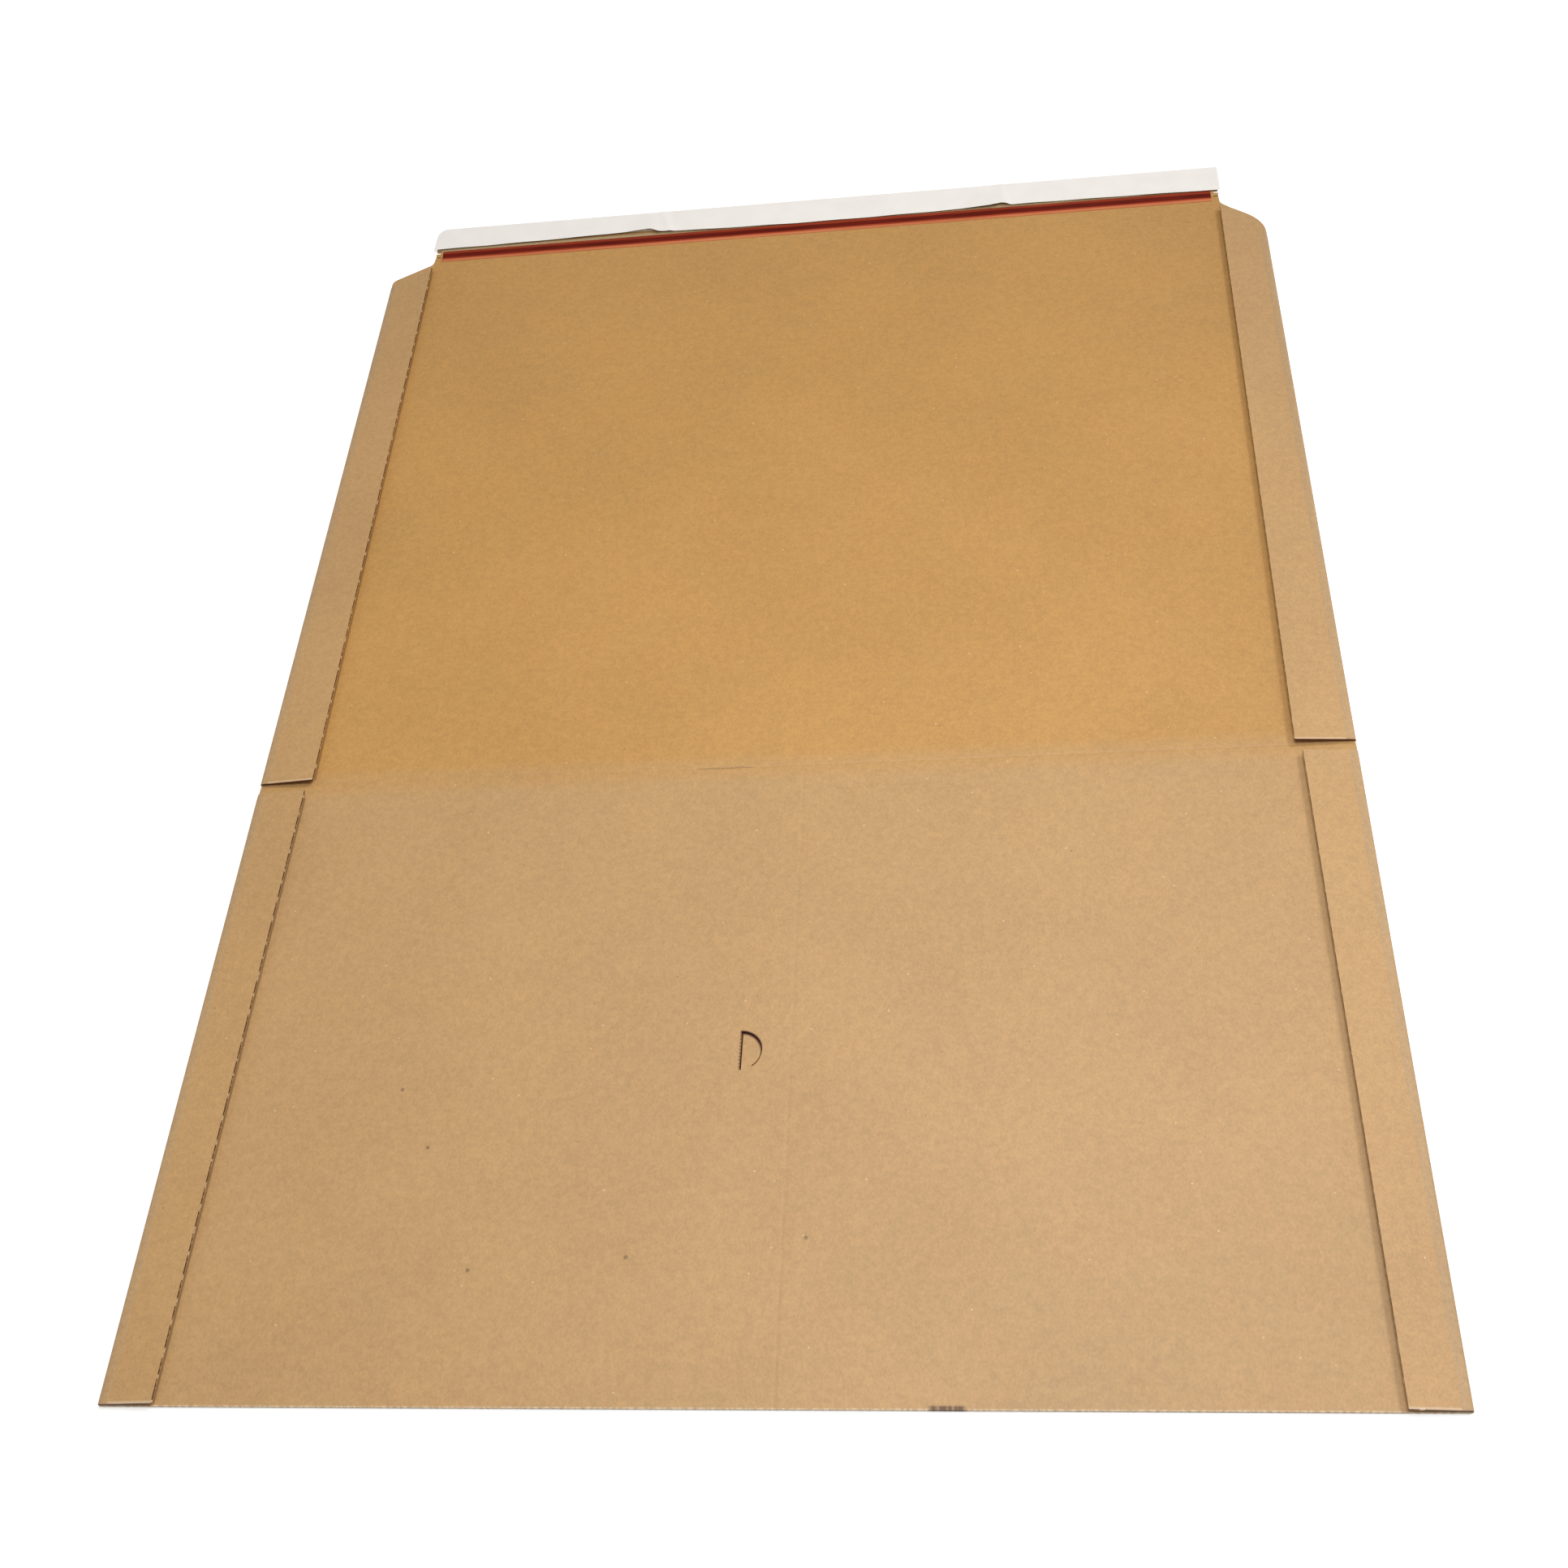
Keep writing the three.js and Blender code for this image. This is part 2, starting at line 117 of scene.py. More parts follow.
def kraft_paper_group():
    """Kraft liner of any colour: clouds, grain, fibres, specks and faint flute lines."""
    tree = bpy.data.node_groups.new("kraft_paper", "ShaderNodeTree")
    for name, kind in (("Place", "Vector"), ("Paper", "Color"), ("Flute Lines", "Float")):
        tree.interface.new_socket(name, in_out="INPUT", socket_type="NodeSocket" + kind)
    for name, kind in (("Colour", "Color"), ("Height", "Float")):
        tree.interface.new_socket(name, in_out="OUTPUT", socket_type="NodeSocket" + kind)
    given = tree.nodes.new("NodeGroupInput").outputs
    place = given["Place"]

    def noise(scale, detail, stretch=(1, 1, 1)):
        stretched = add_node(tree, "Mapping", {"Vector": place, "Scale": stretch}).outputs[0]
        return add_node(tree, "TexNoise", {"Vector": stretched, "Scale": scale, "Detail": detail}).outputs[0]

    clouds = noise(9, 3)
    formation = noise(300, 4)
    fibres = noise(1000, 2, (1, 0.7, 1))
    tone = plus(tree, ramp(tree, clouds, 0.3, 0.7, -0.035, 0.035), 1)
    tone = plus(tree, tone, ramp(tree, formation, 0.25, 0.75, -0.055, 0.055))
    tone = plus(tree, tone, ramp(tree, fibres, 0.25, 0.75, -0.075, 0.075))

    y = add_node(tree, "SeparateXYZ", {"Vector": place}).outputs[1]
    wander = times(tree, noise(20, 2), 3)
    flutes = math_node(tree, "SINE", plus(tree, times(tree, y, 2 * math.pi / FLUTE_PITCH), wander))
    patches = ramp(tree, noise(12, 2, (0.4, 1, 1)), 0.4, 0.65)
    lines = all_of(tree, flutes, patches, given["Flute Lines"])
    tone = plus(tree, tone, times(tree, lines, 0.015))

    colour = mix_colours(tree, 1, given["Paper"], tone, "MULTIPLY")
    warm = ramp(tree, noise(30, 3), 0.35, 0.7, 0, 0.3)
    colour = mix_colours(tree, warm, colour, mix_colours(tree, 1, colour, WARM_TINT, "MULTIPLY"))

    def specks(scale, size, kept, tint, colour):
        cells = add_node(tree, "TexVoronoi", {"Vector": place, "Scale": scale}).outputs
        draw = add_node(tree, "SeparateColor", {0: cells["Color"]}).outputs[0]
        spot = math_node(tree, "LESS_THAN", cells["Distance"], size)
        chosen = math_node(tree, "GREATER_THAN", draw, kept)
        return mix_colours(tree, all_of(tree, spot, chosen, 0.6), colour, tint)

    colour = specks(120, 0.05, 0.93, DARK_SPECK, colour)
    colour = specks(210, 0.1, 0.94, PALE_SPECK, colour)

    height = plus(tree, times(tree, formation, 0.6), times(tree, fibres, 0.4))
    height = plus(tree, height, times(tree, lines, 0.4))
    put = tree.nodes.new("NodeGroupOutput")
    tree.links.new(colour, put.inputs["Colour"])
    tree.links.new(height, put.inputs["Height"])
    return tree


KRAFT = kraft_paper_group()
TAN_LINER = (0.503, 0.299, 0.122, 1)
GOLD_LINER = (0.520, 0.276, 0.075, 1)
OUTER_LINER = (0.515, 0.302, 0.120, 1)
MIXED_LINER = (0.512, 0.288, 0.098, 1)
DARK_FIBRE = (0.2, 0.11, 0.05, 1)
PALE_FIBRE = (0.72, 0.55, 0.33, 1)
# Painted shade for gaps and slits.
GAP_SHADE_TONE = (0.11, 0.028, 0.01, 1)
PAPER_ROUGHNESS = 0.56
PAPER_SHEEN = 0.62
TOOTH = 0.25
TOOTH_HEIGHT = 0.0002


def start_material(name):
    """An empty material with its shader, and the coordinates of the piece that wears it."""
    material = bpy.data.materials.new(name)
    material.use_nodes = True
    tree = material.node_tree
    shader = tree.nodes["Principled BSDF"]
    place = tree.nodes.new("ShaderNodeTexCoord").outputs["Object"]
    return material, tree, shader, place


def finish_paper(tree, shader, colour, height):
    """Calendered paper: a wide soft sheen, and a fine tooth."""
    shader.inputs["Roughness"].default_value = PAPER_ROUGHNESS
    shader.inputs["Specular IOR Level"].default_value = PAPER_SHEEN
    tree.links.new(colour, shader.inputs["Base Color"])
    tooth = add_node(tree, "Bump", {"Strength": TOOTH, "Distance": TOOTH_HEIGHT, "Height": height})
    tree.links.new(tooth.outputs[0], shader.inputs["Normal"])


def liner_paper(tree, place, paper, flute_lines):
    """Kraft liner in one colour: its colour and its height."""
    node = tree.nodes.new("ShaderNodeGroup")
    node.node_tree = KRAFT
    if isinstance(paper, bpy.types.NodeSocket):
        tree.links.new(paper, node.inputs["Paper"])
    else:
        node.inputs["Paper"].default_value = paper
    node.inputs["Flute Lines"].default_value = flute_lines
    tree.links.new(place, node.inputs["Place"])
    return node.outputs["Colour"], node.outputs["Height"]


SPOT_RADIUS = 0.0014
SPOT_SHARE = 0.75


def fibre_spots(tree, place, colour, spots):
    """Single dark fibres caught in the liner, each at its own place."""
    for x, y in spots:
        apart = add_node(tree, "VectorMath", {0: place, 1: (x, y, BOARD)}, operation="DISTANCE")
        spot = ramp(tree, apart.outputs["Value"], SPOT_RADIUS * 0.4, SPOT_RADIUS, SPOT_SHARE, 0)
        colour = mix_colours(tree, spot, colour, DARK_FIBRE)
    return colour


BEND_MARK_X = 0.0095
BEND_TONE = (0.4, 0.22, 0.085, 1)


def bend_mark(tree, place, colour):
    """The faint line where the sheet was bent lengthwise, strongest near the front edge."""
    x, y, _ = add_node(tree, "SeparateXYZ", {"Vector": place}).outputs
    off = size_of(tree, minus(tree, x, BEND_MARK_X))
    line = ramp(tree, off, 0.0003, 0.0014, 1, 0)
    cloud = add_node(tree, "TexNoise", {"Vector": place, "Scale": 25.0}).outputs[0]
    patches = ramp(tree, cloud, 0.4, 0.6, 0.1, 1)
    strength = times(tree, ramp(tree, y, -0.36, -0.30, 0.3, 0.09), patches)
    return mix_colours(tree, times(tree, line, strength), colour, BEND_TONE)


FLAP_EDGE_SHADE_TONE = (0.13, 0.06, 0.022, 1)


def flap_edge_shade(tree, x, y, colour, at_x, at_y, slope, near, far):
    """Painted shade: a thin dark line on the panel along the left flap's cut edge, which the raised edge
    shades.
    """
    line = plus(tree, times(tree, minus(tree, y, at_y), slope), at_x)
    off = minus(tree, x, line)
    band = all_of(
        tree,
        ramp(tree, off, -0.0013, -0.0009),
        ramp(tree, off, -0.0003, 0.0001, 1, 0),
        math_node(tree, "GREATER_THAN", y, near),
        math_node(tree, "LESS_THAN", y, far),
    )
    return mix_colours(tree, times(tree, band, 0.5), colour, FLAP_EDGE_SHADE_TONE)


def crease_blend(tree, place, paper):
    """The inner liner's tone, which changes over a few millimetres at the main crease."""
    y = add_node(tree, "SeparateXYZ", {"Vector": place}).outputs[1]
    away = size_of(tree, minus(tree, y, MAIN_CREASE_Y))
    return mix_colours(tree, ramp(tree, away, 0.001, 0.012), MIXED_LINER, paper)


TAB_X = -0.0154
TAB_Y = -0.24765
TAB_RADIUS = 0.0106


def tab_shade(tree, place, colour):
    """Painted shade in the slit round the finger tab: a crescent round its top, where the tab is pushed in,
    and dots down its straight side.
    """
    x, y, _ = add_node(tree, "SeparateXYZ", {"Vector": place}).outputs
    east = minus(tree, x, TAB_X)
    north = minus(tree, y, TAB_Y)
    square = plus(tree, math_node(tree, "POWER", east, 2.0), math_node(tree, "POWER", north, 2.0))
    off = size_of(tree, minus(tree, math_node(tree, "SQRT", square), TAB_RADIUS - 0.0005))
    # Painted shade round the tab's top, where it is pushed in.
    crescent = all_of(
        tree,
        ramp(tree, off, 0.0006, 0.0013, 1, 0),
        ramp(tree, north, -0.003, 0.006),
        math_node(tree, "GREATER_THAN", east, -0.0005),
    )
    dots = math_node(tree, "SINE", times(tree, north, 2 * math.pi / 0.0019))
    side = all_of(
        tree,
        ramp(tree, size_of(tree, east), 0.0004, 0.0009, 1, 0),
        math_node(tree, "LESS_THAN", size_of(tree, north), TAB_RADIUS),
        ramp(tree, dots, -0.9, 0.3, 0.35, 0.9),
    )
    shade = plus(tree, crescent, side, True)
    return mix_colours(tree, times(tree, shade, 0.9), colour, GAP_SHADE_TONE)


SPLIT_X = 0.084
CUT_LINER = (0.64, 0.5, 0.33, 1)
SHADED_FLUTE_ENDS = (0.19, 0.11, 0.05, 1)
NAP_AND_HIGHLIGHT = (0.72, 0.58, 0.4, 1)
SPLIT_SHADE_TONE = (0.12, 0.052, 0.016, 1)


def front_fringe(tree, x, y, z, colour):
    """The cut front edge: pale liners and brown flutes along its section, with painted shade in the open
    flute ends, pale nap partly painted as a highlight along its top, and painted shade where it split open.
    """
    teeth = math_node(tree, "SINE", times(tree, x, 2 * math.pi / FLUTE_PITCH))
    along = add_node(tree, "CombineXYZ", {0: x}).outputs[0]
    rough = add_node(tree, "TexNoise", {"Vector": along, "Scale": 420.0, "Detail": 2.0}).outputs[0]
    middle = size_of(tree, minus(tree, z, BOARD / 2))
    band = ramp(tree, middle, 0.0003, 0.0006, 1, 0)
    # Brown flute medium, darkened with painted shade where the flute ends are open.
    brown = times(tree, ramp(tree, plus(tree, teeth, rough), -0.2, 1.1, 0.1, 0.9), band)
    section = mix_colours(tree, brown, CUT_LINER, SHADED_FLUTE_ENDS)
    colour = mix_colours(tree, math_node(tree, "LESS_THAN", y, FRONT_EDGE_Y + 0.00001), colour, section)
    # Pale nap along the top edge, partly a painted highlight.
    lit_rim = ramp(tree, y, FRONT_EDGE_Y + 0.00015, FRONT_EDGE_Y + 0.00095, 1, 0)
    colour = mix_colours(tree, times(tree, lit_rim, ramp(tree, rough, 0.42, 0.6, 0.1, 0.8)), colour, NAP_AND_HIGHLIGHT)
    # Painted shade where the board split open at the front edge.
    gap_shade = all_of(
        tree,
        ramp(tree, size_of(tree, minus(tree, x, SPLIT_X)), 0.006, 0.009, 1, 0),
        ramp(tree, y, FRONT_EDGE_Y + 0.00125, FRONT_EDGE_Y + 0.00225, 1, 0),
        ramp(tree, rough, 0.36, 0.52, 0.35, 0.95),
    )
    return mix_colours(tree, gap_shade, colour, SPLIT_SHADE_TONE)


UNDER_SIDE_Z = 0.0005
SHADOW_UNDER_LINER = (0.22, 0.13, 0.06, 1)


def panel_material(name, paper, flute_lines, edge_shade, front_cut=False, spots=(), shade_beyond_y=None):
    """A panel of the sheet: the inner liner above, and the outer one below and round the folded sides, with
    painted shade beside the left flap's cut edge.
    """
    material, tree, shader, place = start_material(name)
    inner, height = liner_paper(tree, place, crease_blend(tree, place, paper), flute_lines)
    inner = bend_mark(tree, place, fibre_spots(tree, place, inner, spots))
    outer, _ = liner_paper(tree, place, OUTER_LINER, 0.3)
    x, y, z = add_node(tree, "SeparateXYZ", {"Vector": place}).outputs
    upper = math_node(tree, "GREATER_THAN", z, UNDER_SIDE_Z)
    inside = math_node(tree, "LESS_THAN", size_of(tree, x), HALF_WIDTH - 0.0005)
    colour = mix_colours(tree, times(tree, upper, inside), outer, inner)
    # Painted shade on the panel beside the left flap's raised cut edge.
    colour = flap_edge_shade(tree, x, y, colour, **edge_shade)
    if front_cut:
        colour = front_fringe(tree, x, y, z, tab_shade(tree, place, colour))
    # Painted shadow on the lid beyond shade_beyond_y, under the lifted release paper.
    if shade_beyond_y is not None:
        beyond = math_node(tree, "GREATER_THAN", y, shade_beyond_y)
        colour = mix_colours(tree, times(tree, beyond, 0.65), colour, SHADOW_UNDER_LINER)
    finish_paper(tree, shader, colour, height)
    return material


def wear(piece, material):
    """The piece shows this material all over."""
    piece.data.materials.clear()
    piece.data.materials.append(material)


BASE_SPOTS = [
    (-0.1658, -0.2968),
    (-0.1366, -0.3584),
    (-0.0626, -0.3526),
    (-0.1838, -0.2656),
    (0.0204, -0.3438),
]
BASE_FLAP_EDGE_SHADE = {"at_x": -0.2733, "at_y": -0.421, "slope": 0.0053, "near": -0.4205, "far": -0.084}
wear(sheet["base_panel"], panel_material("inner_liner_tan", TAN_LINER, 0.25, BASE_FLAP_EDGE_SHADE, True, BASE_SPOTS))


# Lid panel and closure lip.
# The far half of the same sheet. Its inner liner is a more golden kraft, with faint lines of the flutes.
# Beyond a scored crease the narrower lip carries the glue.

LID_FLAP_EDGE_SHADE = {"at_x": -0.2682, "at_y": -0.0742, "slope": -0.0089, "near": -0.072, "far": 0.374}
SHADOW_UNDER_LINER_Y = 0.3952
GOLD_BOARD = panel_material("inner_liner_gold", GOLD_LINER, 0.6, LID_FLAP_EDGE_SHADE, shade_beyond_y=SHADOW_UNDER_LINER_Y)
wear(sheet["lid_panel"], GOLD_BOARD)
wear(sheet["closure_lip"], GOLD_BOARD)


# Side flaps.
# Each is the sheet's own board, folded right over, outer liner up, and sprung up at its cut edge.
# The die leaves the ends of the flutes open all along that edge.

FLAP_LIFT = math.radians(4.5)
FLAP_HINGE_Z = 0.00175
NICK_SPACING = 0.0115
OUTER_LINER_Z = 0.0015
INNER_LINER_Z = 0.0004
FOLD_REACH = 0.0019
CUT_IN_SHADE = (0.1, 0.045, 0.018, 1)
CUT_IN_LIGHT = (0.3, 0.18, 0.08, 1)
TORN_PAPER = (0.8, 0.68, 0.5, 1)
EDGE_HIGHLIGHT_TONE = (0.72, 0.53, 0.35, 1)


def flap_material(name, side, inner_paper, near_end, nick_x):
    """Outer liner above and round the fold, inner liner below, and brown board at the cut edges, painted in
    shade on the left flaps and lit on the right; painted shade and a painted highlight at the near end.
    """
    material, tree, shader, place = start_material(name)
    level = add_node(
        tree,
        "Mapping",
        {"Vector": place, "Location": (-side * HALF_WIDTH, 0, -FLAP_HINGE_Z)},
        vector_type="POINT",
    ).outputs[0]
    level = add_node(tree, "Mapping", {"Vector": level, "Rotation": (0, -side * FLAP_LIFT, 0)}).outputs[0]
    x, y, z = add_node(tree, "SeparateXYZ", {"Vector": level}).outputs
    outer, height = liner_paper(tree, place, OUTER_LINER, 0.25)
    inner, _ = liner_paper(tree, place, inner_paper, 0.25)
    above = math_node(tree, "GREATER_THAN", z, OUTER_LINER_Z)
    folded = math_node(tree, "GREATER_THAN", times(tree, x, side), -FOLD_REACH)
    below = math_node(tree, "LESS_THAN", z, INNER_LINER_Z)
    drift = add_node(tree, "TexNoise", {"Vector": place, "Scale": 70.0}).outputs[0]
    ripple = plus(tree, times(tree, y, 2 * math.pi / NICK_SPACING), times(tree, drift, 9))
    nicks = ramp(tree, math_node(tree, "SINE", ripple), 0.7, 0.9)
    # The cut edge is painted shaded on the left flaps and lit on the right, with pale nicks.
    cut = mix_colours(tree, nicks, CUT_IN_SHADE if side < 0 else CUT_IN_LIGHT, PALE_FIBRE)
    colour = mix_colours(tree, below, cut, inner)
    colour = mix_colours(tree, plus(tree, above, folded, True), colour, outer)
    # Painted shade on the near end face below the top liner, where the gap under the flap is in shadow; the
    # torn nick stays pale.
    end = math_node(tree, "LESS_THAN", y, near_end + 0.0004)
    gap_shade = times(tree, end, ramp(tree, z, 0.0012, OUTER_LINER_Z, 1, 0))
    if nick_x is not None:
        beside = size_of(tree, minus(tree, x, nick_x))
        torn = times(tree, end, ramp(tree, beside, 0.0009, 0.0013, 1, 0))
        gap_shade = times(tree, gap_shade, ramp(tree, beside, 0.0009, 0.0013))
        colour = mix_colours(tree, torn, colour, TORN_PAPER)
    colour = mix_colours(tree, gap_shade, colour, GAP_SHADE_TONE)
    # Painted highlight along the near top edge of the flap.
    lit_rim = times(tree, ramp(tree, y, near_end + 0.0005, near_end + 0.0014, 0.62, 0), above)
    colour = mix_colours(tree, lit_rim, colour, EDGE_HIGHLIGHT_TONE)
    finish_paper(tree, shader, colour, height)
    return material


def one_edge(name, axis, length, start):
    """A straight edge along X or Y from start, cut down from a plane, in edit mode."""
    bpy.ops.object.select_all(action="DESELECT")
    bpy.ops.mesh.primitive_plane_add(size=1, location=(0, 0, 0))
    piece = bpy.context.object
    piece.name = name
    piece.data.name = name
    bpy.ops.object.mode_set(mode="EDIT")
    bpy.ops.mesh.select_all(action="DESELECT")
    mesh = bmesh.from_edit_mesh(piece.data)
    for vertex in mesh.verts:
        vertex.select = vertex.co[1 - axis] > 0
    mesh.select_flush(True)
    bpy.ops.mesh.delete(type="VERT")
    bpy.ops.mesh.select_all(action="SELECT")
    size = [1, 1, 1]
    size[axis] = length
    bpy.ops.transform.resize(value=size)
    middle = Vector(start)
    middle[axis] += length / 2
    middle[1 - axis] += 0.5
    bpy.ops.transform.translate(value=middle)
    return piece


def drawn_along(name, axis, length, path):
    """A sheet drawn from one edge, extruded from each point of its section to the next."""
    piece = one_edge(name, axis, length, path[0])
    for before, after in zip(path, path[1:]):
        bpy.ops.mesh.extrude_region_move(TRANSFORM_OT_translate={"value": Vector(after) - Vector(before)})
    return piece


def thickened(piece, thickness, offset):
    """A sheet given its thickness, with its faces turned outwards."""
    bpy.ops.object.mode_set(mode="OBJECT")
    solidify = piece.modifiers.new("thickness", "SOLIDIFY")
    solidify.thickness = thickness
    solidify.offset = offset
    bpy.ops.object.modifier_apply(modifier=solidify.name)
    bpy.ops.object.mode_set(mode="EDIT")
    bpy.ops.mesh.select_all(action="SELECT")
    bpy.ops.mesh.normals_make_consistent(inside=False)
    bpy.ops.object.mode_set(mode="OBJECT")
    bpy.ops.object.shade_smooth_by_angle(angle=math.radians(35))
    return piece


FOLD_TURN_X = 0.29825
FOLD_ROUND_X = 0.00172
FOLD_PAPER = 0.0002


def fold_paper(name, side, near, far):
    """The outer liner where it turns up round the fold, from under the panel on to the flap."""
    path = []
    for degrees in range(-78, 1, 13):
        angle = math.radians(degrees)
        path.append((FOLD_TURN_X + FOLD_ROUND_X * math.cos(angle), BOARD + 0.00158 * math.sin(angle)))
    flap_part = [(0.29997, 0.0019)]
    for degrees in range(15, 91, 15):
        angle = math.radians(degrees)
        flap_part.append((FOLD_TURN_X + FOLD_ROUND_X * math.cos(angle), 0.0019 + 0.00165 * math.sin(angle)))
    flap_part += [(0.2965, 0.00355), (0.2950, 0.00354), (0.2945, 0.00346)]
    for x, z in flap_part:
        inboard = x - HALF_WIDTH
        above = z - FLAP_HINGE_Z
        path.append((
            HALF_WIDTH + inboard * math.cos(FLAP_LIFT) + above * math.sin(FLAP_LIFT),
            FLAP_HINGE_Z + above * math.cos(FLAP_LIFT) - inboard * math.sin(FLAP_LIFT),
        ))
    piece = drawn_along(name, 1, far - near, [(side * x, near, z) for x, z in path])
    thickened(piece, FOLD_PAPER, side)
    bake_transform(piece)
    return piece


STRAINED_LINER = (0.475, 0.295, 0.135, 1)


def folded_liner_material():
    """Outer liner strained over a fold, and so a little greyer."""
    material, tree, shader, place = start_material("outer_liner_folded")
    colour, height = liner_paper(tree, place, STRAINED_LINER, 0.2)
    finish_paper(tree, shader, colour, height)
    return material


FOLDED_LINER = folded_liner_material()
TORN_NICK_X = -0.0211
FLAP_RUNS = {
    "base_flap_left": (-1, -0.42095, -0.08125, "base", TAN_LINER),
    "base_flap_right": (1, -0.42095, -0.08125, "base", TAN_LINER),
    "lid_flap_left": (-1, -0.07415, 0.3582, "lid", GOLD_LINER),
    "lid_flap_right": (1, -0.07415, 0.3422, "lid", GOLD_LINER),
}
for flap, (side, near, far, panel_body, inner_paper) in FLAP_RUNS.items():
    nick_x = TORN_NICK_X if flap == "base_flap_right" else None
    wear(sheet[flap], flap_material("outer_liner_" + flap, side, inner_paper, near, nick_x))
    wear(fold_paper("fold_of_" + flap, side, near, far), FOLDED_LINER)


# Main crease and lip crease.
# The board carries on over each crease, pressed down along a score line on its inner face.
# On the real mailer this strip bends round the contents as it closes, and becomes the spine.


CREASE_STEPS = 16
PRESSED = 0.00025
PRESSED_HALF = 0.0012
SCORED_Z = 0.001


def creased_board(name, y, half, reach_x, inner_material):
    """The strip of board at a crease, between the two panels that it joins."""
    steps = CREASE_STEPS
    path = []
    for i in range(steps + 1):
        off = (i / steps * 2 - 1) * half
        dip = PRESSED * max(0.0, 1 - abs(off) / PRESSED_HALF)
        path.append((-reach_x, y + off, 0.001606 - dip))
    for i in range(steps, -1, -1):
        path.append((-reach_x, y + (i / steps * 2 - 1) * half, 0.00002))
    path.append(path[0])
    piece = drawn_along(name, 0, 2 * reach_x, path)
    bpy.ops.mesh.select_all(action="SELECT")
    bpy.ops.mesh.remove_doubles(threshold=0.000001)
    bpy.ops.mesh.fill_holes(sides=0)
    bpy.ops.mesh.select_all(action="SELECT")
    bpy.ops.mesh.normals_make_consistent(inside=False)
    bpy.ops.object.mode_set(mode="OBJECT")
    wear(piece, inner_material)
    piece.data.materials.append(FOLDED_LINER)
    for face in piece.data.polygons:
        face.material_index = 1 if face.center.z < SCORED_Z else 0
    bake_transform(piece)
    return piece


DARK_MARK_X = -0.034
# The lip crease is painted a darker grey-brown kraft: painted shade under the lifted release paper.
LIP_CREASE_SHADE_TONE = (0.40, 0.29, 0.15, 1)


def scored_material(name, paper, mark_y=None):
    """Inner liner pressed along a score and, where a line is given, a short thin dark mark along it."""
    material, tree, shader, place = start_material(name)
    colour, height = liner_paper(tree, place, paper, 0.2)
    if mark_y is not None:
        x, along, _ = add_node(tree, "SeparateXYZ", {"Vector": place}).outputs
        rough = add_node(tree, "TexNoise", {"Vector": place, "Scale": 260.0, "Detail": 2.0}).outputs[0]
        wander = times(tree, minus(tree, rough, 0.5), 0.0012)
        off = size_of(tree, plus(tree, minus(tree, along, mark_y), wander))
        thin = ramp(tree, off, 0.0002, 0.0006, 1, 0)
        reach = size_of(tree, minus(tree, x, DARK_MARK_X))
        dark_mark = times(tree, thin, ramp(tree, reach, 0.013, 0.017, 1, 0))
        colour = mix_colours(tree, times(tree, dark_mark, 0.55), colour, DARK_FIBRE)
    finish_paper(tree, shader, colour, height)
    return material


LIP_CREASE_Y = 0.39625
spine = creased_board(
    "main_crease", MAIN_CREASE_Y, 0.003, 0.29965,
    scored_material("inner_liner_scored", MIXED_LINER, MAIN_CREASE_Y),
)
lip_bend = creased_board(
    "lip_crease", LIP_CREASE_Y, 0.002, 0.2695,
    scored_material("inner_liner_lip_scored", LIP_CREASE_SHADE_TONE),
)


# Tear tape.
# A red film stuck along the end of the lid and pressed into a groove of the board.
# Pulling it cuts the lid open.


TAPE_ON_KRAFT_LIT = ((0.55, 0.16, 0.06, 1), (0.64, 0.21, 0.09, 1))
TAPE_RED = ((0.36, 0.045, 0.014, 1), (0.44, 0.06, 0.02, 1))
TAPE_GROOVE_SHADE = ((0.1, 0.006, 0.001, 1), (0.16, 0.011, 0.003, 1))


def tape_material():
    """Thin red film: orange where it lies flat on kraft, partly a painted lit tone; red beside the groove,
    and painted shade in the groove.
    """
    material, tree, shader, place = start_material("tear_tape")
    shader.inputs["Roughness"].default_value = 0.42
    shader.inputs["Specular IOR Level"].default_value = 0.12
    streaks = add_node(tree, "Mapping", {"Vector": place, "Scale": (0.1, 1, 1)}).outputs[0]
    cloud = add_node(tree, "TexNoise", {"Vector": streaks, "Scale": 300.0, "Detail": 2.0}).outputs[0]
    share = ramp(tree, cloud, 0.3, 0.7)
    flat, red, pressed = (mix_colours(tree, share, *tones) for tones in (TAPE_ON_KRAFT_LIT, TAPE_RED, TAPE_GROOVE_SHADE))
    y = add_node(tree, "SeparateXYZ", {"Vector": place}).outputs[1]
    # Orange on kraft, partly a painted lit tone, then red, then painted shade in the groove.
    colour = mix_colours(tree, ramp(tree, y, 0.3864, 0.3870), flat, red)
    colour = mix_colours(tree, ramp(tree, y, 0.3880, 0.3888), colour, pressed)
    colour = mix_colours(tree, ramp(tree, y, 0.3922, 0.3932, 0, 0.6), colour, red)
    tree.links.new(colour, shader.inputs["Base Color"])
    return material


wear(sheet["tear_tape"], tape_material())


# Adhesive and release liner.
# A band of hot-melt glue on the lip, covered until use by a strip of white silicone paper.


def adhesive_material():
    """Cloudy cream glue."""
    material, tree, shader, place = start_material("adhesive")
    shader.inputs["Roughness"].default_value = 0.35
    cloud = add_node(tree, "TexNoise", {"Vector": place, "Scale": 260.0, "Detail": 3.0}).outputs[0]
    colour = mix_colours(tree, ramp(tree, cloud, 0.3, 0.7), (0.8, 0.76, 0.6, 1), (0.86, 0.83, 0.7, 1))
    tree.links.new(colour, shader.inputs["Base Color"])
    return material


